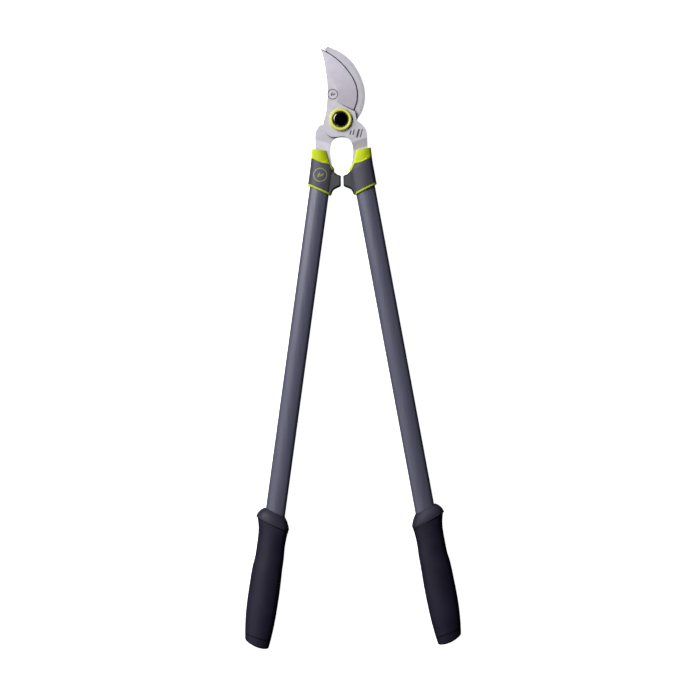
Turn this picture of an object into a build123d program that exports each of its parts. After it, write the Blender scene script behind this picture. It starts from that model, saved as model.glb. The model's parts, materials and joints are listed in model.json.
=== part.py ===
"""Long-handled bypass loppers, lying flat.

+X is to the right, +Y points from the handles to the blade tips and +Z is up. The origin is where the pivot
axis meets the surface that the loppers rest on. Lengths are in millimetres, angles in degrees.

The cutting blade and the hook slide past each other in the plane z = MID_Z, which is also the middle plane
of both handles. The left handle carries the hook and the right handle carries the cutting blade. Handle
pieces are drawn on the left handle, and mirrored for the right one.
"""

from build123d import *
import math
import os

# ---------------------------------------------------------------------------------------------------------
# Driving dimensions
# ---------------------------------------------------------------------------------------------------------
MID_Z = 15.5  # height of the sliding plane above the resting surface
HALF_ANGLE = 9.15  # between each handle and the Y axis at rest
CROSS_Y = 93.0  # where the two handle axes cross, ahead of the pivot

# Blade and hook plates
PLATE = 5.0
SLIDE_GAP = 0.1  # between blade and hook
BLADE_FACE = MID_Z + SLIDE_GAP / 2
BLADE_TOP = BLADE_FACE + PLATE
HOOK_FACE = MID_Z - SLIDE_GAP / 2
HOOK_BACK = HOOK_FACE - PLATE

# Cutting edge: two tangent arcs, from the heel up to the tip
EDGE_CENTRE = (-20.3, 32.4)
EDGE_LOW_R = 43.0
EDGE_TOP_R = 88.0
EDGE_JOIN = 27.6
EDGE_HEEL = -27.1
EDGE_TIP = 64.7

# Grinding of the blade, as widths inwards from the edge and heights above the sliding face
GRIND_WIDTH = 25.5
GRIND_START = 1.45
SHOULDER = ((-8.0, 31.0), (-3.0, 25.2), (6.0, 18.9), (18.5, 12.0))  # where the grinding stops, at its deepest
SHOULDER_DRAFT = 30.0
SHOULDER_LEAN = (0.5, 0.87)  # the way its wall leans
BEVEL_WIDTH = 1.5
BEVEL_START = 0.25
BEVEL_END = 1.65

# The hook's long chamfer along its outer edge
HOOK_CHAMFER_WIDTH = 4.5
HOOK_CHAMFER = 0.55

# Tangs, where the plates step over to the middle plane
TANG_STEP = (PLATE + SLIDE_GAP) / 2
RAMP_LENGTH = 10.0
RAMP_START = (-23.0, -26.4)
RAMP_ANGLE = -18.4
TANG_HALF_WIDTH = 9.5
TANG_CORNER = (-11.0, 148.6)  # where the tang's inner edge runs into the ferrule
TANG_NARROW = (153.0, 152.0)  # where the tang reaches its narrow width, outside and inside
TANG_END = 214.0

# Handle tube: an oval of four arcs. Distances along a handle start where the handle axes cross.
TUBE_WIDTH = 25.4
TUBE_DEPTH = 16.5
TUBE_SIDE_R = 7.0
TUBE_WALL = 1.2
TUBE_START = 157.0
TUBE_END = 760.0
PLUG_END = 222.0

# Ferrule that joins tang and tube, and the cover round it
SLEEVE_WALL = 1.2
COVER_WALL = 1.5
FERRULE_TOP = 133.4
COVER_TOP = 147.0
FERRULE_SECTIONS = (  # distance along the handle, reach inwards and outwards, depth
    (FERRULE_TOP, -2.8, 16.5, 14.0),
    (COVER_TOP, -8.7, 15.6, 19.0),
    (150.4, -11.3, 15.5, 20.4),
    (153.6, -14.4, 15.4, 21.4),
)
COVER_LINE = ((20.0, 143.6), (12.0, 146.1), (2.0, 149.2), (-8.0, 149.6))  # the cover's upper edge, from above
COVER_CORNERS = ((-13.3, 157.5), (-20.0, 159.0))  # and on to the bumper
HOLLOW_START = 1.2  # sets where the collar's hollow begins
HOLLOW_DEPTH = 2.2  # less depth of the collar beside the cover, both sides together
HOLLOW_RIM = (  # height over the middle plane, and width of the rim beside the hollow
    (6.0, 4.1),
    (11.0, -0.9),
)
FERRULE_END = 184.4  # on the handle's axis
FERRULE_TILT = 16.2
FERRULE_RIM = 2.2
SIDE_SHARE = 0.443  # an oval's side radius, as a share of its depth

# Bumper
BUMPER_DEPTH = 14.0
BUMPER_FACE_ANGLE = 1.17  # its face lies on a line through the pivot, so that the two faces meet flat
BUMPER_CHAMFER = 1.8
STUB_R = 3.5
STUB_ALONG = 169.0

# Rivets through tube, plug and tang
RIVET_R = 2.5
RIVET_HEAD_R = 3.6
RIVET_HEAD = 0.6
RIVET_SPOTS = (165.5, 177.0)

# Grip
CORE_WALL = 1.8
COLLAR_TOP = 596.7
COLLAR_RIM = 609.4
COLLAR_BAND = 2.8
COLLAR_TILT = 17.7
RIM_BELOW = COLLAR_RIM + COLLAR_BAND / math.cos(math.radians(COLLAR_TILT))  # where the sleeve starts
CAP_LINE = 756.4
CAP_TILT = 11.6
GRIP_END = 768.9
COLLAR_SECTIONS = (  # distance along the handle, reach inwards and outwards, depth
    (COLLAR_TOP, -13.4, 14.6, 19.6),
    (COLLAR_TOP + 5.2, -17.8, 20.0, 27.0),
    (COLLAR_RIM, -21.2, 24.0, 31.0),
)
GRIP_SECTIONS = (  # distance along the handle, tilt, reach inwards and outwards, depth
    (RIM_BELOW, COLLAR_TILT, -20.9, 23.1, 29.6),
    (616.5, 16.0, -19.8, 21.2, 29.4),
    (622.5, 11.0, -18.9, 19.0, 28.8),
    (631.0, 5.0, -18.2, 17.9, 28.2),
    (641.0, 0.0, -18.0, 17.8, 28.0),
    (664.0, 0.0, -18.6, 19.1, 29.4),
    (692.0, 0.0, -19.1, 20.3, 30.6),
    (718.0, 0.0, -18.8, 20.4, 30.6),
    (745.0, 0.0, -17.5, 18.6, 28.4),
    (757.0, 0.0, -16.3, 17.0, 26.2),
    (GRIP_END + 1, 0.0, -14.6, 14.6, 23.0),
)
GRIP_END_FILLET = 2.4
SPIGOT_START = 742.0

# Pivot hardware: an M10 bolt with its head on top and a lock nut below
BOLT_R = 5.0
BOLT_CHAMFER = 0.8
BUSH_R = 7.0
RUNNING_PLAY = 0.05
WASHER_R = 13.8
WASHER = 1.0
HEAD_ACROSS_FLATS = 16.0
HEAD = 3.0
RING_R = 14.4
CAP_R = 10.35
RING_HEIGHT = 4.2
RING_FILLET = 2.2
CAP_RISE = 1.4
REAR_WASHER_R = 12.5
REAR_WASHER = 1.5
SPRING_WASHER_R = 9.3
SPRING_WASHER = 1.5
NUT_ACROSS_FLATS = 17.0
NUT_COLLAR_R = 7.7
NUT_COLLAR = 2.0
LOCK_R = 6.8
NUT_LIP = 0.4


# ---------------------------------------------------------------------------------------------------------
# Places and sections on the left handle
# ---------------------------------------------------------------------------------------------------------
SLANT = math.radians(HALF_ANGLE)
ALONG = Vector(-math.sin(SLANT), -math.cos(SLANT), 0)
OUTWARD = Vector(-math.cos(SLANT), math.sin(SLANT), 0)
CROSSING = Vector(0, CROSS_Y, MID_Z)
HANDLE_TOP_VIEW = Plane(origin=CROSSING, x_dir=OUTWARD, z_dir=(0, 0, 1))  # local x outward, local y along


def across(along, tilt=0.0):
    """The plane across the left handle at that distance, with its outer side tilted up the handle."""
    turn = math.radians(tilt)
    normal = ALONG * math.cos(turn) + OUTWARD * math.sin(turn)
    sideways = OUTWARD * math.cos(turn) - ALONG * math.sin(turn)
    return Plane(origin=CROSSING + ALONG * along, x_dir=sideways, z_dir=normal)


def on_handle(outward, along):
    """X and Y of a place on the left handle."""
    place = CROSSING + OUTWARD * outward + ALONG * along
    return (place.X, place.Y)


def oval(plane, width, depth, side_r, shift=0.0):
    """A closed oval of four tangent arcs."""
    reach = width / 2 - side_r
    rise = depth / 2 - side_r
    drop = (reach**2 - rise**2) / (2 * rise)
    share = 1 / (1 - side_r / (depth / 2 + drop))
    join_x = reach * share
    join_y = drop * share - drop
    with BuildSketch(plane) as section:
        with BuildLine():
            for side in (1, -1):
                ThreePointArc(
                    (shift - join_x, side * join_y),
                    (shift, side * depth / 2),
                    (shift + join_x, side * join_y),
                )
                ThreePointArc(
                    (shift + side * join_x, join_y),
                    (shift + side * width / 2, 0),
                    (shift + side * join_x, -join_y),
                )
        make_face()
    return section.sketch


def tube_oval(along, growth=0.0):
    """The tube's outer oval, grown by that much all round."""
    width = TUBE_WIDTH + 2 * growth
    return oval(across(along), width, TUBE_DEPTH + 2 * growth, TUBE_SIDE_R + growth)


def flat_oval(plane, inner, outer, depth, inset=0.0):
    """An oval between two places across the handle, drawn in by an inset all round."""
    thickness = depth - 2 * inset
    return oval(plane, outer - inner - 2 * inset, thickness, SIDE_SHARE * thickness, (outer + inner) / 2)


def save(shape, name):
    """Labels a finished piece and writes it to its own file."""
    shape.label = name
    export_step(shape, f"parts/{name}.step")


def save_pair(shape, name):
    """Writes a piece of the left handle, and its mirror image for the right handle."""
    save(shape, f"left_{name}")
    save(mirror(shape, about=Plane.YZ), f"right_{name}")


# ---------------------------------------------------------------------------------------------------------
# Outlines that the plates share. Each is drawn into the BuildLine that is open.
# ---------------------------------------------------------------------------------------------------------
def edge_point(degrees, inset=0.0):
    """A point on the cutting edge's two arcs, moved inwards from it."""
    x, y = EDGE_CENTRE
    radius = EDGE_LOW_R - inset
    if degrees > EDGE_JOIN:
        join = math.radians(EDGE_JOIN)
        radius = EDGE_TOP_R - inset
        x -= (EDGE_TOP_R - EDGE_LOW_R) * math.cos(join)
        y -= (EDGE_TOP_R - EDGE_LOW_R) * math.sin(join)
    turn = math.radians(degrees)
    return (x + radius * math.cos(turn), y + radius * math.sin(turn))


def edge_arcs(inset=0.0, tip=EDGE_TIP, heel=EDGE_HEEL):
    """The cutting edge from tip to heel, moved inwards by inset."""
    join = edge_point(EDGE_JOIN, inset)
    ThreePointArc(edge_point(tip, inset), edge_point((tip + EDGE_JOIN) / 2 + 4, inset), join)
    ThreePointArc(join, edge_point((heel + EDGE_JOIN) / 2, inset), edge_point(heel, inset))


def tang_and_lobe(side, start, lobe_end):
    """A plate's shoulder, tang and lobe round the pivot, as far as the other side of the lobe.

    side is 1 for the blade, whose tang is on the right, and -1 for the hook. start and lobe_end are given
    as on the blade.
    """

    def placed(points):
        return [(side * x, y) for x, y in points]

    down_handle = (side * math.sin(SLANT), -math.cos(SLANT))
    narrow = on_handle(TANG_HALF_WIDTH, TANG_NARROW[0])
    outer_edge = [(33.0, -20.0), (33.2, -34.0), (-narrow[0], narrow[1])]
    shoulder = placed([start, (25.5, -5.6), (31.0, -11.6), outer_edge[0]])
    Spline(*shoulder, tangents=[(side * 0.9, -0.45), (0, -1)])
    Line(*placed(outer_edge[:2]))
    Spline(*placed(outer_edge[1:]), tangents=[(0, -1), down_handle])
    corner = on_handle(*TANG_CORNER)
    ends = [
        narrow,
        on_handle(TANG_HALF_WIDTH, TANG_END),
        on_handle(-TANG_HALF_WIDTH, TANG_END),
        on_handle(-TANG_HALF_WIDTH, TANG_NARROW[1]),
        corner,
    ]
    Polyline(*placed([(-x, y) for x, y in ends]))
    neck = (8.6, -23.2)
    window = [(-corner[0], corner[1]), (14.6, -44.0), (14.4, -34.0), neck]
    Spline(*placed(window), tangents=[(side * 0.15, 1), (side * -0.9, 0.4)])
    lobe = [neck, (3.0, -21.5), (-9.0, -21.8), (-17.5, -18.6), (-21.9, -11.5), lobe_end]
    Spline(*placed(lobe), tangents=[(side * -0.9, 0.4), (side * 0.1, 1)])


def stepped_layer(near_face, far_face, side):
    """A layer that steps over to the handle's middle plane beyond the ramp, seen from the side."""
    turn = math.radians(RAMP_ANGLE)
    ramp_line = Vector(-side * math.cos(turn), math.sin(turn), 0)
    down = Vector(-side * math.sin(turn) * -1, -math.cos(turn), 0)
    middle = Plane(origin=(-side * RAMP_START[0], RAMP_START[1], 0), x_dir=down, z_dir=ramp_line)
    up = middle.y_dir.Z
    step = -side * TANG_STEP
    reach = 300
    with BuildSketch(middle) as profile:
        with BuildLine():
            Polyline(
                (-reach, up * near_face),
                (0, up * near_face),
                (RAMP_LENGTH, up * (near_face + step)),
                (reach, up * (near_face + step)),
                (reach, up * (far_face + step)),
                (RAMP_LENGTH, up * (far_face + step)),
                (0, up * far_face),
                (-reach, up * far_face),
                close=True,
            )
        make_face()
    return profile.sketch


os.makedirs("parts", exist_ok=True)

# ---------------------------------------------------------------------------------------------------------
# Cutting blade
# ---------------------------------------------------------------------------------------------------------
BEHIND = ((-70.0, -10.0), (-70.0, 120.0))  # a line well behind the blade's back

with BuildPart() as ground_shape:  # all that the slanting grind leaves
    for height, inset in ((GRIND_START, 0.0), (PLATE + SLIDE_GAP, GRIND_WIDTH)):
        with BuildSketch(Plane.XY.offset(BLADE_FACE + height)):
            with BuildLine():
                edge_arcs(inset)
                Polyline(edge_point(EDGE_HEEL, inset), *BEHIND, edge_point(EDGE_TIP, inset))
            make_face()
    loft(ruled=True)

with BuildPart() as bevelled_shape:  # all that the fine bevel along the edge leaves
    for height, inset in ((BEVEL_START, 0.0), (BEVEL_END, BEVEL_WIDTH)):
        with BuildSketch(Plane.XY.offset(BLADE_FACE + height)):
            with BuildLine():
                edge_arcs(inset)
                Polyline(edge_point(EDGE_HEEL, inset), *BEHIND, edge_point(EDGE_TIP, inset))
            make_face()
    loft(ruled=True)

with BuildPart() as ground_zone:  # where the grinding wheel ran, down to its curved and sloping shoulder
    lean = PLATE * math.tan(math.radians(SHOULDER_DRAFT))
    for height, shift in ((GRIND_START, 0.0), (GRIND_START + PLATE, lean)):
        with BuildSketch(Plane.XY.offset(BLADE_FACE + height)):
            with BuildLine():
                shoulder = [(x - shift * SHOULDER_LEAN[0], y - shift * SHOULDER_LEAN[1]) for x, y in SHOULDER]
                Spline(*shoulder, tangents=[(0.6, -1), (1, -0.5)])
                Polyline(shoulder[-1], (60, 12), (60, 120), (-60, 120), (-60, 64), shoulder[0])
            make_face()
    loft(ruled=True)
    add(ground_shape.part, mode=Mode.SUBTRACT)

with BuildPart() as bevelled_zone:
    with BuildSketch(Plane.XY.offset(BLADE_FACE + BEVEL_START)):
        with BuildLine():
            Polyline((12, 14), (60, 0), (60, 120), (-60, 120), (-60, 90), (-23, 86), (0, 60), close=True)
        make_face()
    extrude(amount=BEVEL_END - BEVEL_START)
    add(bevelled_shape.part, mode=Mode.SUBTRACT)

with BuildPart() as cutting_blade:
    with BuildSketch(Plane.XY):
        with BuildLine():
            edge_arcs()
            tip = edge_point(EDGE_TIP)
            tip_back = (tip[0] - 0.5, tip[1] - 1.0)
            Line(edge_point(EDGE_HEEL), (20.6, -2.0))
            tang_and_lobe(1, (20.6, -2.0), (-22.4, -6.0))
            back = [(-22.4, -6.0), (-19.6, 5.0), (-16.6, 24.0), (-16.0, 45.0), (-18.2, 68.5), tip_back]
            Spline(*back, tangents=[(0.1, 1), (-0.35, 1)])
            Line(tip_back, tip)
        make_face()
    extrude(amount=3 * MID_Z)
    extrude(stepped_layer(BLADE_FACE, BLADE_TOP, 1), amount=300, both=True, mode=Mode.INTERSECT)
    add(ground_zone.part, mode=Mode.SUBTRACT)
    add(bevelled_zone.part, mode=Mode.SUBTRACT)
    with Locations((0, 0, MID_Z)):
        Cylinder(BUSH_R, 4 * PLATE, mode=Mode.SUBTRACT)

# ---------------------------------------------------------------------------------------------------------
# Hook
# ---------------------------------------------------------------------------------------------------------
HOOK_FOOT = (20.9, -2.0)
HOOK_TIP = (-14.0, 93.9)
HOOK_OUTER = [  # from the foot up to the tip
    HOOK_FOOT,
    (25.0, 7.1),
    (30.2, 20.0),
    (31.6, 34.0),
    (28.9, 48.2),
    (21.0, 66.1),
    (8.0, 81.8),
    HOOK_TIP,
]
HOOK_INNER = [  # from the tip down to the lobe
    (-18.8, 91.0),
    (-9.0, 81.8),
    (1.5, 70.6),
    (10.0, 58.0),
    (14.5, 45.0),
    (16.0, 33.0),
    (12.5, 22.5),
]
HOOK_LOBE = [HOOK_INNER[-1], (3.0, 17.6), (-8.0, 16.0), (-17.0, 7.5), (-22.0, -4.6)]


def towards_pivot_side(point, amount):
    """A point of the hook's outer edge moved inwards, towards the middle of the cutting edge's curve."""
    x, y = EDGE_CENTRE
    distance = math.hypot(point[0] - x, point[1] - y)
    share = 1 - amount / distance
    return (x + (point[0] - x) * share, y + (point[1] - y) * share)


with BuildPart() as chamfered_shape:  # all that the hook's long chamfer leaves, drawn past the outer edge
    for height, inset in ((-2 * HOOK_CHAMFER, -HOOK_CHAMFER_WIDTH), (0.0, HOOK_CHAMFER_WIDTH)):
        with BuildSketch(Plane.XY.offset(HOOK_FACE + height)):
            with BuildLine():
                outer = [towards_pivot_side(point, inset) for point in HOOK_OUTER[1:]]
                Spline(*outer)
                Polyline(outer[-1], BEHIND[1], BEHIND[0], (0, -10), outer[0])
            make_face()
    loft(ruled=True)

with BuildPart() as chamfered_zone:
    with BuildSketch(Plane.XY.offset(HOOK_FACE - 2 * HOOK_CHAMFER)):
        with BuildLine():
            Polyline((16, 32), (27, 8), (60, 8), (60, 120), (-14, 120), (-14, 80), (10, 50), close=True)
        make_face()
    extrude(amount=2 * HOOK_CHAMFER)
    add(chamfered_shape.part, mode=Mode.SUBTRACT)

with BuildPart() as hook_blade:
    with BuildSketch(Plane.XY):
        with BuildLine():
            tang_and_lobe(-1, (22.0, -4.6), (-HOOK_FOOT[0], HOOK_FOOT[1]))
            Spline(*HOOK_OUTER, tangents=[(-0.1, 1), (-1, 0.35)])
            Line(HOOK_TIP, HOOK_INNER[0])
            Spline(*HOOK_INNER)
            Spline(*HOOK_LOBE)
        make_face()
    extrude(amount=3 * MID_Z)
    extrude(stepped_layer(HOOK_BACK, HOOK_FACE, -1), amount=300, both=True, mode=Mode.INTERSECT)
    add(chamfered_zone.part, mode=Mode.SUBTRACT)
    with Locations((0, 0, MID_Z)):
        Cylinder(BOLT_R, 4 * PLATE, mode=Mode.SUBTRACT)

# ---------------------------------------------------------------------------------------------------------
# Ferrule, its cover and the bumper
# ---------------------------------------------------------------------------------------------------------
with BuildPart() as ferrule_shape:  # ferrule and cover together, outside
    collar_sections = [flat_oval(across(row[0]), *row[1:]) for row in FERRULE_SECTIONS]
    loft(sections=collar_sections[:2])
    loft(sections=collar_sections[1:] + [tube_oval(TUBE_START, SLEEVE_WALL + COVER_WALL)])
    extrude(tube_oval(TUBE_START, SLEEVE_WALL + COVER_WALL), amount=FERRULE_END - TUBE_START + 10)
    split(bisect_by=across(FERRULE_END, FERRULE_TILT), keep=Keep.BOTTOM)

with BuildPart() as sleeve_shape:  # what the cover lies on
    sleeve_sections = [flat_oval(across(row[0]), *row[1:], COVER_WALL) for row in FERRULE_SECTIONS[1:]]
    extrude(sleeve_sections[0], amount=-4)
    loft(sections=sleeve_sections + [tube_oval(TUBE_START, SLEEVE_WALL)])
    extrude(tube_oval(TUBE_START, SLEEVE_WALL), amount=FERRULE_END - TUBE_START + 10)

with BuildPart() as cover_zone:
    with BuildSketch(HANDLE_TOP_VIEW):
        with BuildLine():
            Spline(*COVER_LINE, tangents=[(-1, 0.1), (-1, 0)])
            Polyline(COVER_LINE[-1], *COVER_CORNERS, (-20, 200), (20, 200), COVER_LINE[0])
        make_face()
    extrude(amount=MID_Z, both=True)
    split(bisect_by=across(FERRULE_END - FERRULE_RIM, FERRULE_TILT), keep=Keep.BOTTOM)

with BuildPart() as hollow_form:  # the collar with its upper and lower sides pressed in towards the cover
    along, inner, outer, depth = FERRULE_SECTIONS[0]
    start = flat_oval(across(along), inner, outer, depth + HOLLOW_START)
    along, inner, outer, depth = FERRULE_SECTIONS[1]
    pressed = flat_oval(across(along), inner, outer, depth - HOLLOW_DEPTH)
    covered = SLEEVE_WALL + COVER_WALL
    reach = TUBE_WIDTH / 2 + covered
    end = flat_oval(across(TUBE_START), -reach, reach, TUBE_DEPTH + 2 * covered - HOLLOW_DEPTH)
    loft(sections=[start, pressed, end], ruled=True)

with BuildPart() as collar_hollow:  # leaves a thin rim beside the cover
    for height, rim in HOLLOW_RIM:
        with BuildSketch(HANDLE_TOP_VIEW.offset(height)):
            with BuildLine():
                rim_line = [(x, y - rim) for x, y in COVER_LINE]
                Spline(*rim_line, tangents=[(-1, 0.1), (-1, 0)])
                Polyline(rim_line[-1], (-20, 147.0), (-20, FERRULE_TOP), (20, FERRULE_TOP), rim_line[0])
            make_face()
    loft(ruled=True)
    mirror(about=HANDLE_TOP_VIEW)
    add(hollow_form.part, mode=Mode.SUBTRACT)

with BuildPart() as stub_shape:  # the peg that holds the bumper
    with BuildSketch(Plane(CROSSING + ALONG * STUB_ALONG, x_dir=ALONG, z_dir=OUTWARD * -1)):
        Circle(STUB_R)
    extrude(amount=TUBE_WIDTH / 2 + SLEEVE_WALL + COVER_WALL + 1)
    extrude(tube_oval(TUBE_START), amount=PLUG_END - TUBE_START, mode=Mode.SUBTRACT)

with BuildPart() as rivet_holes:
    with BuildSketch(HANDLE_TOP_VIEW):
        with Locations(*[(0, along) for along in RIVET_SPOTS]):
            Circle(RIVET_R)
    extrude(amount=MID_Z, both=True)

with BuildPart() as head_holes:
    with BuildSketch(HANDLE_TOP_VIEW):
        with Locations(*[(0, along) for along in RIVET_SPOTS]):
            Circle(RIVET_HEAD_R)
    extrude(amount=MID_Z, both=True)

with BuildPart() as ferrule:
    add(ferrule_shape.part)
    add(cover_zone.part - sleeve_shape.part, mode=Mode.SUBTRACT)
    add(collar_hollow.part, mode=Mode.SUBTRACT)
    extrude(tube_oval(TUBE_START), amount=40, mode=Mode.SUBTRACT)
    add(hook_blade.part, mode=Mode.SUBTRACT)
    add(head_holes.part, mode=Mode.SUBTRACT)
    add(stub_shape.part, mode=Mode.SUBTRACT)

with BuildPart() as ferrule_cover:
    add(ferrule_shape.part)
    add(cover_zone.part, mode=Mode.INTERSECT)
    add(sleeve_shape.part, mode=Mode.SUBTRACT)
    add(hook_blade.part, mode=Mode.SUBTRACT)
    add(stub_shape.part, mode=Mode.SUBTRACT)

with BuildPart() as bumper:
    with BuildSketch(Plane.XY.offset(MID_Z - BUMPER_DEPTH / 2)):
        with BuildLine():
            face_slope = math.tan(math.radians(BUMPER_FACE_ANGLE))
            face_top = (-71.9 * face_slope, -71.9)
            face_end = (-82.4 * face_slope, -82.4)
            Spline((-13.5, -64.4), (-9.0, -66.9), (-5.0, -69.9), face_top, tangents=[(1, -0.4), (0.3, -1)])
            Line(face_top, face_end)
            Spline(face_end, (-4.2, -84.9), (-11.0, -88.4), (-13.6, -94.0), tangents=[(-0.2, -1), (-0.1, -1)])
            Polyline((-13.6, -94.0), (-17.0, -94.0), (-17.0, -64.4), (-13.5, -64.4))
        make_face()
    extrude(amount=BUMPER_DEPTH)
    rounded = [edge for edge in bumper.edges() if abs(edge.center().Z - MID_Z) > 1 and edge.center().X > -13]
    chamfer(rounded, length=BUMPER_CHAMFER)
    add(ferrule_shape.part, mode=Mode.SUBTRACT)
    add(stub_shape.part)

# ---------------------------------------------------------------------------------------------------------
# Tube, plug and rivets
# ---------------------------------------------------------------------------------------------------------
with BuildPart() as tube:
    extrude(tube_oval(TUBE_START), amount=TUBE_END - TUBE_START)
    extrude(tube_oval(TUBE_START, -TUBE_WALL), amount=TUBE_END - TUBE_START, mode=Mode.SUBTRACT)
    add(rivet_holes.part, mode=Mode.SUBTRACT)

with BuildPart() as tang_plug:
    extrude(tube_oval(TUBE_START, -TUBE_WALL), amount=PLUG_END - TUBE_START)
    add(hook_blade.part, mode=Mode.SUBTRACT)
    add(rivet_holes.part, mode=Mode.SUBTRACT)

with BuildPart() as tang_rivets:
    add(head_holes.part)
    extrude(tube_oval(TUBE_START, RIVET_HEAD), amount=PLUG_END - TUBE_START, mode=Mode.INTERSECT)
    extrude(tube_oval(TUBE_START), amount=PLUG_END - TUBE_START, mode=Mode.SUBTRACT)
    with BuildSketch(HANDLE_TOP_VIEW):
        with Locations(*[(0, along) for along in RIVET_SPOTS]):
            Circle(RIVET_R)
    extrude(amount=TUBE_DEPTH / 2, both=True)

# ---------------------------------------------------------------------------------------------------------
# Grip: a stiff core with its collar, a soft sleeve and an end cap
# ---------------------------------------------------------------------------------------------------------
with BuildPart() as grip_shape:  # sleeve and end cap together, outside
    loft(sections=[flat_oval(across(row[0], row[1]), *row[2:]) for row in GRIP_SECTIONS])
    with BuildSketch(HANDLE_TOP_VIEW):  # the end is rounded off towards its outer side
        with BuildLine():
            arc_start = (-22, GRIP_END - 0.4)
            arc_end = (17.4, GRIP_END - 8.2)
            ThreePointArc(arc_start, (2, GRIP_END - 1.1), arc_end)
            Polyline(arc_end, (30, GRIP_END - 22), (30, 590), (-30, 590), (-30, GRIP_END - 0.4), arc_start)
        make_face()
    extrude(amount=MID_Z, both=True, mode=Mode.INTERSECT)

with BuildPart() as grip_core:
    rim_sections = [flat_oval(across(row[0], COLLAR_TILT), *row[1:]) for row in COLLAR_SECTIONS]
    loft(sections=rim_sections)
    extrude(rim_sections[-1], amount=COLLAR_BAND)
    extrude(tube_oval(COLLAR_TOP + 8, CORE_WALL), amount=TUBE_END - COLLAR_TOP - 8)
    extrude(tube_oval(TUBE_START), amount=TUBE_END - TUBE_START, mode=Mode.SUBTRACT)

with BuildPart() as grip_sleeve:
    add(grip_shape.part)
    split(bisect_by=across(CAP_LINE, CAP_TILT), keep=Keep.BOTTOM)
    extrude(tube_oval(COLLAR_TOP, CORE_WALL), amount=TUBE_END - COLLAR_TOP, mode=Mode.SUBTRACT)

with BuildPart() as grip_end_cap:
    add(grip_shape.part)
    fillet(grip_end_cap.faces().sort_by(Axis.Y)[0].edges(), radius=GRIP_END_FILLET)
    split(bisect_by=across(CAP_LINE, CAP_TILT), keep=Keep.TOP)
    extrude(tube_oval(COLLAR_TOP, CORE_WALL), amount=TUBE_END - COLLAR_TOP, mode=Mode.SUBTRACT)
    extrude(tube_oval(SPIGOT_START, -TUBE_WALL), amount=TUBE_END - SPIGOT_START)

# ---------------------------------------------------------------------------------------------------------
# Pivot
# ---------------------------------------------------------------------------------------------------------
WASHER_Z = BLADE_TOP + RUNNING_PLAY
HEAD_Z = WASHER_Z + WASHER
HEAD_TOP = HEAD_Z + HEAD
RING_TOP = WASHER_Z + RING_HEIGHT
REAR_WASHER_Z = HOOK_BACK - REAR_WASHER
NUT_TOP = REAR_WASHER_Z - SPRING_WASHER
NUT_BOTTOM = NUT_LIP

with BuildPart() as blade_bush:
    with BuildSketch(Plane.XY.offset(BLADE_FACE)):
        Circle(BUSH_R)
        Circle(BOLT_R + RUNNING_PLAY, mode=Mode.SUBTRACT)
    extrude(amount=PLATE)

with BuildPart() as pivot_bolt:
    with BuildSketch(Plane.XY):
        Circle(BOLT_R)
    extrude(amount=HEAD_TOP)
    chamfer(pivot_bolt.edges().group_by(Axis.Z)[0], length=BOLT_CHAMFER)
    with BuildSketch(Plane.XY.offset(HEAD_Z)):
        RegularPolygon(HEAD_ACROSS_FLATS / 2, 6, major_radius=False)
    extrude(amount=HEAD)

with BuildPart() as front_washer:
    with BuildSketch(Plane.XY.offset(WASHER_Z)):
        Circle(WASHER_R)
        Circle(BOLT_R, mode=Mode.SUBTRACT)
    extrude(amount=WASHER)

with BuildPart() as pivot_ring:
    with BuildSketch(Plane.XY.offset(WASHER_Z)):
        Circle(RING_R)
    extrude(amount=RING_HEIGHT)
    fillet(pivot_ring.edges().group_by(Axis.Z)[-1], radius=RING_FILLET)
    with BuildSketch(Plane.XY.offset(WASHER_Z)):
        Circle(WASHER_R)
    extrude(amount=WASHER, mode=Mode.SUBTRACT)
    with BuildSketch(Plane.XY.offset(HEAD_Z)):
        Circle(CAP_R)
    extrude(amount=RING_HEIGHT, mode=Mode.SUBTRACT)

with BuildPart() as pivot_cap:
    with BuildSketch(Plane.XZ):
        with BuildLine():
            Polyline((0, HEAD_TOP), (0, RING_TOP + CAP_RISE))
            ThreePointArc((0, RING_TOP + CAP_RISE), (CAP_R / 2, RING_TOP + 0.8 * CAP_RISE), (CAP_R, RING_TOP))
            Polyline((CAP_R, RING_TOP), (CAP_R, HEAD_Z), (0, HEAD_Z), (0, HEAD_TOP))
        make_face()
    revolve(axis=Axis.Z)
    with BuildSketch(Plane.XY.offset(HEAD_Z)):
        RegularPolygon(HEAD_ACROSS_FLATS / 2, 6, major_radius=False)
    extrude(amount=HEAD, mode=Mode.SUBTRACT)

with BuildPart() as rear_washer:
    with BuildSketch(Plane.XY.offset(REAR_WASHER_Z)):
        Circle(REAR_WASHER_R)
        Circle(BOLT_R, mode=Mode.SUBTRACT)
    extrude(amount=REAR_WASHER)

with BuildPart() as spring_washer:
    with BuildSketch(Plane.XY.offset(NUT_TOP)):
        Circle(SPRING_WASHER_R)
        Circle(BOLT_R, mode=Mode.SUBTRACT)
    extrude(amount=SPRING_WASHER)
    with BuildSketch(Plane.XY.offset(NUT_TOP)):  # the split in the ring
        with Locations((BOLT_R + 2, 0)):
            Rectangle(6, 0.8, rotation=20)
    extrude(amount=SPRING_WASHER, mode=Mode.SUBTRACT)

with BuildPart() as pivot_nut:
    with BuildSketch(Plane.XY.offset(NUT_BOTTOM + NUT_COLLAR)):
        RegularPolygon(NUT_ACROSS_FLATS / 2, 6, major_radius=False)
    extrude(amount=NUT_TOP - NUT_BOTTOM - NUT_COLLAR)
    with BuildSketch(Plane.XY.offset(NUT_BOTTOM)):
        Circle(NUT_COLLAR_R)
    extrude(amount=NUT_COLLAR)
    with BuildSketch(Plane.XY):
        Circle(BOLT_R)
    extrude(amount=NUT_TOP, mode=Mode.SUBTRACT)
    with BuildSketch(Plane.XY):
        Circle(LOCK_R)
    extrude(amount=NUT_BOTTOM + NUT_COLLAR, mode=Mode.SUBTRACT)

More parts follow.
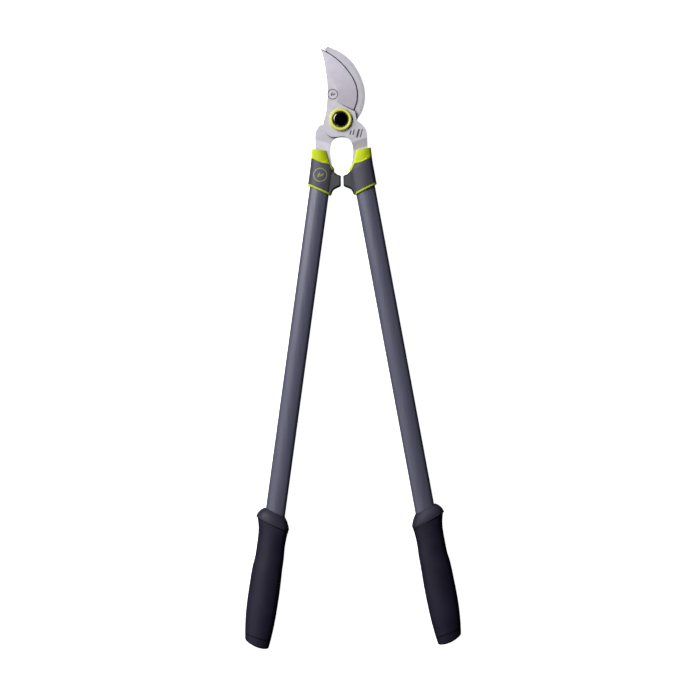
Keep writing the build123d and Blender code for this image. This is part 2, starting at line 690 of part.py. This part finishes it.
with BuildPart() as nut_lock_insert:
    with BuildSketch(Plane.XY.offset(NUT_BOTTOM + NUT_LIP)):
        Circle(LOCK_R)
        Circle(BOLT_R, mode=Mode.SUBTRACT)
    extrude(amount=NUT_COLLAR - NUT_LIP)

# ---------------------------------------------------------------------------------------------------------
# Files
# ---------------------------------------------------------------------------------------------------------
# The rivets also pass through the tangs
save(hook_blade.part - rivet_holes.part, "hook_blade")
save(cutting_blade.part - mirror(rivet_holes.part, about=Plane.YZ), "cutting_blade")
save_pair(ferrule.part, "ferrule")
save_pair(ferrule_cover.part, "ferrule_cover")
save_pair(bumper.part, "bumper")
save_pair(tube.part, "tube")
save_pair(tang_plug.part, "tang_plug")
save_pair(tang_rivets.part, "tang_rivets")
save_pair(grip_core.part, "grip_core")
save_pair(grip_sleeve.part, "grip_sleeve")
save_pair(grip_end_cap.part, "grip_end_cap")
save(blade_bush.part, "blade_bush")
save(pivot_bolt.part, "pivot_bolt")
save(front_washer.part, "front_washer")
save(pivot_ring.part, "pivot_ring")
save(pivot_cap.part, "pivot_cap")
save(rear_washer.part, "rear_washer")
save(spring_washer.part, "spring_washer")
save(pivot_nut.part, "pivot_nut")
save(nut_lock_insert.part, "nut_lock_insert")
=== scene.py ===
import bpy
import bmesh
import json
import math
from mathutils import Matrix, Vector
from mathutils.bvhtree import BVHTree


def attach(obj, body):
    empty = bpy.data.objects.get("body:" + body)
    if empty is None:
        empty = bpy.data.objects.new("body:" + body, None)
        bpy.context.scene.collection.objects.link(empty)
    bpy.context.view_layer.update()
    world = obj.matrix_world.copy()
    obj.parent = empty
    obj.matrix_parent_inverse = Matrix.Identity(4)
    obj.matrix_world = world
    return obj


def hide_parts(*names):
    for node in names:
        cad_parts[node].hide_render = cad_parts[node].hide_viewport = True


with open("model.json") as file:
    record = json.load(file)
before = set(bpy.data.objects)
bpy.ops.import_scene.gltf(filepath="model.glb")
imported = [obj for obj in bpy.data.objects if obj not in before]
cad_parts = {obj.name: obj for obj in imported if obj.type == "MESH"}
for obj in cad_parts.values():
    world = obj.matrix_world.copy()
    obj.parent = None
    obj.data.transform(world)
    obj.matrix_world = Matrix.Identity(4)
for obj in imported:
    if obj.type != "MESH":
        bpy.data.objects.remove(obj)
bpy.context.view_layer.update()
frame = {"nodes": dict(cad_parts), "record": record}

MM = 0.001
PIVOT_Z = 15.5 * MM
EDGE_CENTRE = (-20.3 * MM, 32.4 * MM)  # middle of the cutting edge's curve
HANDLE_SLANT = math.radians(9.15)  # between each handle and the Y axis
HANDLE_START = 93 * MM  # Y where the two handle axes cross
scene = bpy.context.scene


# ---- Node helpers ----------------------------------------------------------------------------------------
class Nodes:
    """Short calls that add nodes to a tree and link them."""

    def __init__(self, tree):
        self.tree = tree
        self.coords = tree.nodes.new("ShaderNodeTexCoord")

    def link(self, source, socket):
        """Feeds a socket from another node's output, or sets its value."""
        if hasattr(source, "is_output"):
            self.tree.links.new(source, socket)
        else:
            socket.default_value = source

    def node(self, kind, inputs=(), **settings):
        """A new node. inputs go by name or number, and settings are its own properties."""
        made = self.tree.nodes.new("ShaderNode" + kind)
        for key, value in settings.items():
            setattr(made, key, value)
        for key, value in dict(inputs).items():
            self.link(value, made.inputs[key])
        return made

    def math(self, operation, a, b=0.0):
        return self.node("Math", {0: a, 1: b}, operation=operation).outputs[0]

    def ramp(self, value, low, high, to_low=0.0, to_high=1.0):
        """A smooth step from to_low to to_high as the value goes from low to high."""
        inputs = {"Value": value, "From Min": low, "From Max": high, "To Min": to_low, "To Max": to_high}
        return self.node("MapRange", inputs, interpolation_type="SMOOTHSTEP").outputs["Result"]

    def mix(self, factor, a, b):
        """A colour between two colours, each a tuple or another node's output."""
        made = self.node("Mix", {}, data_type="RGBA")
        for socket, value in ((made.inputs[0], factor), (made.inputs[6], a), (made.inputs[7], b)):
            if isinstance(value, tuple) and len(value) == 3:
                value = (*value, 1)
            self.link(value, socket)
        return made.outputs[2]

    def parts(self, vector):
        """X, Y and Z of a vector."""
        return self.node("SeparateXYZ", {0: vector}).outputs


class Shader(Nodes):
    """A material under construction."""

    def __init__(self, name, colour, roughness, metallic=0.0):
        self.material = bpy.data.materials.new(name)
        self.material.use_nodes = True
        super().__init__(self.material.node_tree)
        self.bsdf = self.tree.nodes["Principled BSDF"]
        self.finish(Base_Color=(*colour, 1), Roughness=roughness, Metallic=metallic)

    def place(self, scale=(1, 1, 1), turn=0.0):
        """Coordinates in metres, turned about Z and stretched."""
        inputs = {"Vector": self.coords.outputs["Object"], "Scale": scale, "Rotation": (0, 0, turn)}
        return self.node("Mapping", inputs).outputs[0]

    def noise(self, size, detail=3.0, rough=0.5, scale=(1, 1, 1), turn=0.0, vector=None):
        """Noise with features of about that size in millimetres."""
        place = self.place(scale, turn) if vector is None else vector
        inputs = {"Vector": place, "Scale": 1 / (size * MM), "Detail": detail, "Roughness": rough}
        return self.node("TexNoise", inputs).outputs["Fac"]

    def grains(self, size):
        """Distance to the middle of small cells, for moulded leather and spark textures."""
        inputs = {"Vector": self.place(), "Scale": 1 / (size * MM)}
        return self.node("TexVoronoi", inputs).outputs["Distance"]

    def bump(self, height, distance, strength, under=None):
        """A normal for relief of that many millimetres, over another relief if one is given."""
        inputs = {"Height": height, "Distance": distance * MM, "Strength": strength}
        if under is not None:
            inputs["Normal"] = under
        return self.node("Bump", inputs).outputs[0]

    def facing(self):
        """How far the surface itself faces up or down, 1 where it lies flat."""
        return self.math("ABSOLUTE", self.parts(self.coords.outputs["Normal"])[2])

    # The mask of the painted shade in the grooves at the handle joints.
    def groove_shade_line(self, along, tilt, half_width):
        """1 on a line across both handles, that many millimetres down the handle and tilted by degrees."""
        x, y = self.parts(self.coords.outputs["Object"])[:2]
        turn = HANDLE_SLANT + math.radians(tilt)
        sideways = self.math("MULTIPLY", self.math("ABSOLUTE", x), math.sin(turn))
        lengthways = self.math("MULTIPLY", y, -math.cos(turn))
        line = along * MM * math.cos(math.radians(tilt)) - HANDLE_START * math.cos(turn)
        away = self.math("ABSOLUTE", self.math("SUBTRACT", self.math("ADD", sideways, lengthways), line))
        return self.ramp(away, half_width * MM, 0.4 * half_width * MM)

    def finish(self, **sockets):
        """Sets the main shader's sockets and gives the material."""
        for key, value in sockets.items():
            self.link(value, self.bsdf.inputs[key.replace("_", " ")])
        return self.material


# ---- Materials -------------------------------------------------------------------------------------------
def moulded_plastic(name, colour, worn, roughness, shine, side_shading):
    """Injection-moulded plastic: a fine spark texture, faint flow marks and rubbed patches.

    The last argument is how bright its steep faces are painted beside its top: painted light above 1, painted
    shade below 1.
    """
    grain = 0.35
    s = Shader(name, colour, roughness)
    flow = s.noise(14, 4, 0.55, (1, 0.35, 1))
    fine = s.math("ADD", s.noise(grain, 2), s.grains(2.2 * grain))
    skin = s.mix(s.ramp(flow, 0.35, 0.75), colour, worn)
    # Painted light and shade on the steep faces: the top's colour times the last argument.
    painted_side_colour = tuple(min(side_shading * c, 0.9) for c in colour)
    return s.finish(
        Base_Color=s.mix(s.ramp(s.facing(), 0.9, 0.6), skin, painted_side_colour),
        Roughness=s.ramp(flow, 0.3, 0.7, roughness - 0.05, roughness + 0.07),
        Normal=s.bump(fine, 0.04, 0.5),
        Specular_IOR_Level=shine,
    )


def blade_steel(name, flat, ground, bevel_shade):
    """Tumbled flats, a ground face with lines across the edge whose own finish is brightened by painted
    light, and fine bevels and walls darkened with painted shade.

    The hook, which lies under the sliding plane, is a shade darker than the blade.
    """
    s = Shader(name, flat, 0.42, 1.0)
    x, y, z = s.parts(s.coords.outputs["Object"])[:3]
    across = s.math("SUBTRACT", x, EDGE_CENTRE[0])
    along = s.math("SUBTRACT", y, EDGE_CENTRE[1])
    turn = s.math("ARCTAN2", along, across)
    reach = s.math("POWER", s.math("ADD", s.math("POWER", across, 2.0), s.math("POWER", along, 2.0)), 0.5)
    fan = {0: s.math("MULTIPLY", turn, 0.06), 1: s.math("MULTIPLY", reach, 0.03), 2: 0.0}
    lines = s.noise(0.32, 3, 0.65, vector=s.node("CombineXYZ", fan).outputs[0])
    tumbled = s.noise(0.5, 3, 0.6, (1, 0.12, 1), math.radians(14))
    cloud = s.noise(11, 4, 0.5)
    facing = s.facing()
    flatness = s.ramp(facing, 0.9925, 0.9985)
    # Steep faces, the fine bevels and the walls, get painted shade.
    steep = s.ramp(facing, 0.90, 0.80)
    under = s.ramp(z, PIVOT_Z + 0.05 * MM, PIVOT_Z, 0, 0.15)
    # Faces tilted a little take the ground colour: the ground face's own finish, brightened as painted light,
    # and the hook's chamfer and the tang ramps get the same painted light.
    colour = s.mix(flatness, ground, flat)
    colour = s.mix(s.ramp(cloud, 0.3, 0.75, 0, 0.35), colour, tuple(0.9 * c for c in flat))
    colour = s.mix(steep, colour, bevel_shade)
    colour = s.mix(under, colour, tuple(0.75 * c for c in flat))
    grain = s.node("Mix", {0: flatness, 2: lines, 3: tumbled}, data_type="FLOAT").outputs[0]
    return s.finish(
        Base_Color=colour,
        Roughness=s.math("ADD", s.ramp(cloud, 0.3, 0.7, 0.62, 0.7), s.ramp(grain, 0.3, 0.7, -0.04, 0.05)),
        Normal=s.bump(grain, 0.03, 0.5),
    )


def plated_steel(name, colour):
    """Zinc-plated hardware: fine turning marks and cloudy chromate."""
    s = Shader(name, colour, 0.32, 1.0)
    cloud = s.noise(5, 4, 0.6)
    fine = s.noise(0.25, 3, 0.6, (1, 0.3, 1))
    return s.finish(
        Base_Color=s.mix(s.ramp(cloud, 0.35, 0.7), colour, tuple(0.8 * c for c in colour)),
        Roughness=s.ramp(cloud, 0.3, 0.7, 0.26, 0.42),
        Normal=s.bump(fine, 0.02, 0.5),
    )


def powder_coat(name, colour, worn):
    """Satin powder coat on a drawn tube: faint orange peel over a fine speckle, with long handling marks."""
    s = Shader(name, colour, 0.4)
    peel = s.noise(1.1, 2, 0.4)
    speck = s.noise(0.3, 2, 0.5)
    marks = s.noise(4, 4, 0.6, (1, 0.05, 1))
    return s.finish(
        Base_Color=s.mix(s.ramp(marks, 0.35, 0.75), colour, worn),
        Roughness=s.ramp(marks, 0.3, 0.7, 0.36, 0.46),
        Normal=s.bump(peel, 0.06, 0.35, s.bump(speck, 0.02, 0.4)),
    )


# Painted shade in the grooves at the joints beside the collar and the end cap: distance along the handle,
# tilt and half width
COLLAR_GROOVE_SHADE = (612.9, 17.7, 1.0)
CAP_GROOVE_SHADE = (756.4, 11.6, 0.9)


def soft_grip(name, colour, worn):
    """Soft elastomer: small leathery cells with painted shade in the hollows between them, a dull skin, and
    painted shade in the grooves at the joints.
    """
    s = Shader(name, colour, 0.6)
    cells = s.grains(0.9)
    fine = s.noise(0.3, 3, 0.6)
    wear = s.noise(22, 4, 0.55)
    # The cells are darker away from their middles: painted shade in the hollows between them.
    skin = s.mix(s.ramp(wear, 0.35, 0.75), s.mix(s.ramp(cells, 0.0, 0.6), worn, colour), worn)
    groove_shade = s.math("MAXIMUM", s.groove_shade_line(*COLLAR_GROOVE_SHADE), s.groove_shade_line(*CAP_GROOVE_SHADE))
    return s.finish(
        # A near-black line at the joints: painted shade in the grooves.
        Base_Color=s.mix(groove_shade, skin, tuple(0.1 * c for c in colour)),
        Roughness=s.ramp(wear, 0.3, 0.7, 0.5, 0.6),
        Normal=s.bump(cells, 0.06, 0.4, s.bump(fine, 0.03, 0.4)),
        Specular_IOR_Level=0.22,
    )


def gloss_black(name):
    """Polished black cap with faint hairlines."""
    s = Shader(name, (0.001, 0.001, 0.0015), 0.08)
    hair = s.noise(0.6, 3, 0.6, (1, 0.04, 1), math.radians(40))
    smear = s.noise(6, 3)
    return s.finish(
        Base_Color=s.mix(s.ramp(smear, 0.3, 0.8), (0.0008, 0.0008, 0.0014), (0.0018, 0.0018, 0.0026)),
        Roughness=s.math("ADD", s.ramp(smear, 0.3, 0.7, 0.06, 0.11), s.ramp(hair, 0.4, 0.7, 0, 0.06)),
        IOR=1.8,
        Specular_IOR_Level=s.ramp(s.facing(), 0.995, 0.9, 0.04, 1.0),
        Normal=s.bump(hair, 0.004, 0.3),
    )


def print_ink(name, colour, faded):
    """Pad-printed ink, slightly broken where it sits on a rough surface."""
    s = Shader(name, colour, 0.5)
    wear = s.noise(1.2, 4, 0.65)
    return s.finish(
        Base_Color=s.mix(s.ramp(wear, 0.45, 0.75), colour, faded),
        Roughness=s.ramp(wear, 0.3, 0.7, 0.42, 0.6),
        Normal=s.bump(wear, 0.01, 0.5),
    )


MOULDED = {  # colour, rubbed colour, roughness, shine, and how bright the steep faces are painted beside the top: painted light above 1, painted shade below 1
    "lock_nylon": ((0.5, 0.55, 0.6), (0.55, 0.6, 0.62), 0.5, 0.5, 1.0),
    # the lime's steep faces are painted lighter: painted light
    "lime_plastic": ((0.42, 0.51, 0.004), (0.45, 0.54, 0.008), 0.5, 0.16, 1.4),
    "ring_plastic": ((0.62, 0.62, 0.09), (0.66, 0.66, 0.13), 0.38, 0.4, 1.0),
    "cover_plastic": ((0.063, 0.059, 0.08), (0.076, 0.071, 0.095), 0.55, 0.3, 1.0),
    # the bumper's steep faces are painted darker: painted shade
    "bumper_rubber": ((0.038, 0.039, 0.047), (0.052, 0.054, 0.063), 0.55, 0.5, 0.4),
    "plug_plastic": ((0.02, 0.02, 0.02), (0.03, 0.03, 0.03), 0.6, 0.5, 1.0),
    "collar_plastic": ((0.03, 0.027, 0.046), (0.037, 0.034, 0.056), 0.55, 0.25, 1.0),
}
OTHER_FINISHES = {  # what makes each, and its colours
    # the blade steel's colours: flats, the ground face with painted light, and the painted shade on bevels
    # and walls
    "blade_steel": (blade_steel, (0.58, 0.565, 0.615), (0.75, 0.71, 0.8), (0.27, 0.25, 0.28)),
    "zinc_steel": (plated_steel, (0.62, 0.62, 0.64)),
    "bronze": (plated_steel, (0.45, 0.29, 0.12)),
    "dark_print": (print_ink, (0.045, 0.04, 0.05), (0.12, 0.11, 0.13)),
    "lime_print": (print_ink, (0.24, 0.27, 0.09), (0.13, 0.14, 0.09)),
    "gloss_black": (gloss_black,),
    "tube_coating": (powder_coat, (0.088, 0.088, 0.136), (0.1, 0.1, 0.15)),
    "grip_rubber": (soft_grip, (0.0155, 0.013, 0.028), (0.0205, 0.0175, 0.036)),
}
MATERIALS = {name: moulded_plastic(name, *values) for name, values in MOULDED.items()}
MATERIALS |= {name: make(name, *colours) for name, (make, *colours) in OTHER_FINISHES.items()}

for subpart in frame["record"]["subparts"]:
    node = frame["nodes"][subpart["node"]]
    node.data.materials.clear()
    node.data.materials.append(MATERIALS[subpart["material_slot"]])


# ---- Pieces that take the place of CAD nodes -------------------------------------------------------------
SHARP = math.radians(32)  # edges sharper than this are rounded


def body_with(name):
    """The body that a CAD node belongs to."""
    return next(body for body, nodes in frame["record"]["behaviour"]["bodies"].items() if name in nodes)


def keep_on(piece, node_name, material=None):
    """Puts a new piece on the body of a CAD node, with that node's finish."""
    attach(piece, body_with(node_name))
    slot = next(s["material_slot"] for s in frame["record"]["subparts"] if s["node"] == node_name)
    piece.data.materials.clear()
    piece.data.materials.append(material or MATERIALS[slot])
    return piece


def refined(name, width, crease=7):
    """A copy of a CAD node in the node's place, with joined faces and small rounded edges.

    width is how wide the rounding is, in millimetres. Edges over crease degrees don't shade smoothly.
    """
    node = frame["nodes"][name]
    mesh = node.data.copy()
    piece = bpy.data.objects.new(name + "_detailed", mesh)
    scene.collection.objects.link(piece)
    work = bmesh.new()
    work.from_mesh(mesh)
    bmesh.ops.remove_doubles(work, verts=work.verts, dist=0.03 * MM)
    bmesh.ops.dissolve_limit(work, angle_limit=math.radians(0.6), verts=work.verts, edges=work.edges)
    sharp = [e for e in work.edges if len(e.link_faces) == 2 and e.calc_face_angle() > SHARP]
    rounding = {"offset": width * MM, "segments": 2, "profile": 0.5, "clamp_overlap": True}
    bmesh.ops.bevel(work, geom=sharp, affect="EDGES", **rounding)
    for face in work.faces:
        face.smooth = True
    for edge in work.edges:
        edge.smooth = len(edge.link_faces) == 2 and edge.calc_face_angle() < math.radians(crease)
    work.to_mesh(mesh)
    work.free()
    even = piece.modifiers.new("even_normals", "WEIGHTED_NORMAL")
    even.weight = 100
    even.keep_sharp = True
    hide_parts(name)
    return keep_on(piece, name)


def lathe(name, profile, node_name):
    """A piece turned round the pivot axis from (radius, height) points in millimetres, in a node's place."""
    steps = 96
    verts = [
        (r * MM * math.cos(turn), r * MM * math.sin(turn), z * MM)
        for turn in (2 * math.pi * k / steps for k in range(steps))
        for r, z in profile
    ]
    rows = len(profile)
    faces = []
    for k in range(steps):
        here = k * rows
        there = (k + 1) % steps * rows
        for j in range(rows):
            up = (j + 1) % rows
            faces.append((here + j, there + j, there + up, here + up))
    mesh = bpy.data.meshes.new(name)
    mesh.from_pydata(verts, [], faces)
    work = bmesh.new()
    work.from_mesh(mesh)
    bmesh.ops.remove_doubles(work, verts=work.verts, dist=0.001 * MM)
    bmesh.ops.recalc_face_normals(work, faces=work.faces)
    for face in work.faces:
        face.smooth = True
    for edge in work.edges:
        edge.smooth = len(edge.link_faces) == 2 and edge.calc_face_angle() < math.radians(40)
    work.to_mesh(mesh)
    work.free()
    piece = bpy.data.objects.new(name, mesh)
    scene.collection.objects.link(piece)
    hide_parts(node_name)
    return keep_on(piece, node_name)


def bow(centre, radii, start, end, steps=8):
    """Points on an arc of an ellipse, in degrees from +X."""
    turns = [math.radians(start + (end - start) * k / steps) for k in range(steps + 1)]
    return [(centre[0] + radii[0] * math.cos(t), centre[1] + radii[1] * math.sin(t)) for t in turns]


# The ring and the cap over the bolt's head. The ring is round like a lifebelt and the cap has a rolled edge.
# Radii and heights above the resting surface, in millimetres.
WASHER_R = 13.8
WASHER_TOP = 21.65
RING_R = 14.4
RING_FOOT = 20.6
HEAD_TOP = 24.65

ring_profile = [
    (WASHER_R, RING_FOOT),
    (RING_R, RING_FOOT),
    *bow((12.6, 22.5), (RING_R - 12.6, 2.3), 0, 90),
    *bow((12.0, 23.7), (1.6, 1.1), 90, 180),
    (10.4, WASHER_TOP + 0.05),
    (WASHER_R, WASHER_TOP),
]
cap_profile = [
    (0.0, HEAD_TOP),
    (0.0, 26.0),
    (3.5, 25.93),
    (6.2, 25.7),
    *bow((7.4, 22.6), (2.85, 3.0), 85, 0, 12),
    (10.25, WASHER_TOP),
    (9.4, WASHER_TOP),
    (9.3, HEAD_TOP),
]
lathe("pivot_ring_rounded", ring_profile, "pivot_ring")
lathe("pivot_cap_rolled", cap_profile, "pivot_cap")


# ---- Printed marks: plain signs, laid on the surface under them ------------------------------------------
FILM = 0.035  # how far a printed film stands out of its surface, and reaches into it


def printed(name, node_name, material, strips):
    """Thin closed films on a node's upper side.

    A strip is a row of (left, right) pairs of points in millimetres, and whether it closes on itself.
    """
    node = frame["nodes"][node_name]
    under = BVHTree.FromPolygons([v.co for v in node.data.vertices], [p.vertices for p in node.data.polygons])
    verts = []
    faces = []
    for pairs, closed in strips:
        first = len(verts)
        for pair in pairs:
            for x, y in pair:
                hit = under.ray_cast(Vector((x * MM, y * MM, 0.1)), Vector((0, 0, -1)))[0]
                verts.append((x * MM, y * MM, hit.z + FILM * MM))
                verts.append((x * MM, y * MM, hit.z - FILM * MM))
        count = len(pairs)
        for k in range(count if closed else count - 1):
            a = first + 4 * k
            b = first + 4 * ((k + 1) % count)
            faces += [(a, b, b + 2, a + 2), (a + 1, a + 3, b + 3, b + 1)]
            faces += [(a, a + 1, b + 1, b), (a + 2, b + 2, b + 3, a + 3)]
        if not closed:
            last = first + 4 * (count - 1)
            faces += [(first, first + 2, first + 3, first + 1), (last, last + 1, last + 3, last + 2)]
    mesh = bpy.data.meshes.new(name)
    mesh.from_pydata(verts, [], faces)
    work = bmesh.new()
    work.from_mesh(mesh)
    bmesh.ops.recalc_face_normals(work, faces=work.faces)
    work.to_mesh(mesh)
    work.free()
    piece = bpy.data.objects.new(name, mesh)
    scene.collection.objects.link(piece)
    return keep_on(piece, node_name, material)


def hoop(centre, inner, outer, steps=72):
    """A closed circular strip."""
    turns = [2 * math.pi * k / steps for k in range(steps)]
    x, y = centre
    pairs = [[(x + r * math.cos(t), y + r * math.sin(t)) for r in (inner, outer)] for t in turns]
    return (pairs, True)


def leaf(centre, length, width, lean, steps=14):
    """A pointed leaf, leaning by that many degrees."""
    c, s = math.cos(math.radians(lean)), math.sin(math.radians(lean))
    pairs = []
    for k in range(steps + 1):
        share = k / steps
        along = (share - 0.5) * length
        half = max(0.5 * width * math.sin(math.pi * share) ** 0.8, 0.03)
        x, y = centre[0] + along * c, centre[1] + along * s
        pairs.append([(x - w * s, y + w * c) for w in (-half, half)])
    return (pairs, False)


def bar(foot, height, width, slant=0.3, steps=6):
    """An upright bar that slants to the right."""
    rows = [height * k / steps for k in range(steps + 1)]
    return ([[(foot[0] + up * slant + w, foot[1] + up) for w in (0, width)] for up in rows], False)


MARK = (-9.3, 32.4)
COVER_MARK = (-27.6, -69.8)

printed(
    "blade_mark",
    "cutting_blade",
    MATERIALS["dark_print"],
    [hoop(MARK, 5.7, 6.7), leaf((-10.6, 32.3), 5.4, 2.2, 66), leaf((-7.7, 32.2), 4.6, 1.9, 40)],
)
printed(
    "cover_mark",
    "left_ferrule_cover",
    MATERIALS["lime_print"],
    [hoop(COVER_MARK, 7.7, 8.9), leaf((-29.3, -69.9), 6.8, 2.8, 66), leaf((-25.4, -70.0), 5.8, 2.4, 40)],
)
printed(
    "size_bars",
    "cutting_blade",
    MATERIALS["dark_print"],
    [
        bar((10.4, -19.6), 5.6, 1.7),
        bar((14.2, -19.6), 6.6, 1.7),
        bar((18.6, -23.2), 10.6, 2.6),
        bar((23.4, -23.2), 10.6, 1.4),
    ],
)

for name in ("cutting_blade", "hook_blade"):
    refined(name, 0.3)
for side in ("left_", "right_"):
    refined(side + "bumper", 0.6)
    refined(side + "ferrule", 0.3)
    refined(side + "ferrule_cover", 0.3)
    refined(side + "tube", 0.2, crease=25)  # its facets are coarser
    refined(side + "grip_core", 0.5)
    refined(side + "grip_sleeve", 1.0)
    refined(side + "grip_end_cap", 0.9)


# ---- Camera, floor and light -----------------------------------------------------------------------------
VIEW_TURN = math.radians(1.377)
VIEW_WIDTH = 889 * MM
LENS = 100.0
SENSOR = 36.0

camera_data = bpy.data.cameras.new("camera")
camera_data.lens = LENS
camera_data.sensor_width = SENSOR
camera_data.clip_end = 20
camera = bpy.data.objects.new("camera", camera_data)
camera.location = (4.8 * MM, -292.2 * MM, PIVOT_Z + VIEW_WIDTH * LENS / SENSOR)
camera.rotation_euler = (0, 0, -VIEW_TURN)
scene.collection.objects.link(camera)
scene.camera = camera


def light_table():
    """A white floor that glows a little, so that no shadow shows on it. The loppers don't mirror it."""
    mesh = bpy.data.meshes.new("floor")
    reach = 12.0
    corners = [(-reach, -reach, 0), (reach, -reach, 0), (reach, reach, 0), (-reach, reach, 0)]
    mesh.from_pydata(corners, [], [(0, 1, 2, 3)])
    floor = bpy.data.objects.new("floor", mesh)
    scene.collection.objects.link(floor)
    floor.visible_glossy = False
    floor.visible_diffuse = False
    s = Shader("floor_paper", (0.9, 0.9, 0.9), 0.9)
    s.finish(Specular_IOR_Level=0.0, Emission_Color=(1, 1, 1, 1), Emission_Strength=1.0)
    mesh.materials.append(s.material)


light_table()


def soft_light(name, place, target, size, power):
    """A rectangular lamp at a place, aimed at a target."""
    data = bpy.data.lights.new(name, "AREA")
    data.shape = "RECTANGLE"
    data.size, data.size_y = size
    data.energy = power
    lamp = bpy.data.objects.new(name, data)
    lamp.location = place
    lamp.rotation_euler = (Vector(target) - Vector(place)).to_track_quat("-Z", "Y").to_euler()
    scene.collection.objects.link(lamp)


def studio_world(bright, dim):
    """A dim studio that is brighter on the left, with walls that look white to the camera."""
    world = bpy.data.worlds.new("studio")
    world.use_nodes = True
    scene.world = world
    w = Nodes(world.node_tree)
    background = world.node_tree.nodes["Background"]
    background.inputs["Color"].default_value = (1, 1, 1, 1)
    x, _, z = w.parts(w.coords.outputs["Generated"])
    side = w.ramp(x, -0.9, 0.9, bright, dim)
    height = w.ramp(z, -0.05, 0.3, 0.04, 1.0)
    overhead = w.ramp(z, 0.8, 0.97, 1.0, 0.3)
    light = w.math("MULTIPLY", w.math("MULTIPLY", side, height), overhead)
    seen = w.node("LightPath").outputs["Is Camera Ray"]
    w.link(w.math("MAXIMUM", light, seen), background.inputs["Strength"])


studio_world(0.122, 0.0178)
soft_light("key", (-0.75, 0.45, 0.95), (-0.02, -0.2, 0), (0.8, 1.0), 25)
soft_light("low", (-0.42, -0.62, 0.38), (-0.12, -0.55, 0), (0.3, 0.5), 0.7)

scene.view_settings.view_transform = "Standard"
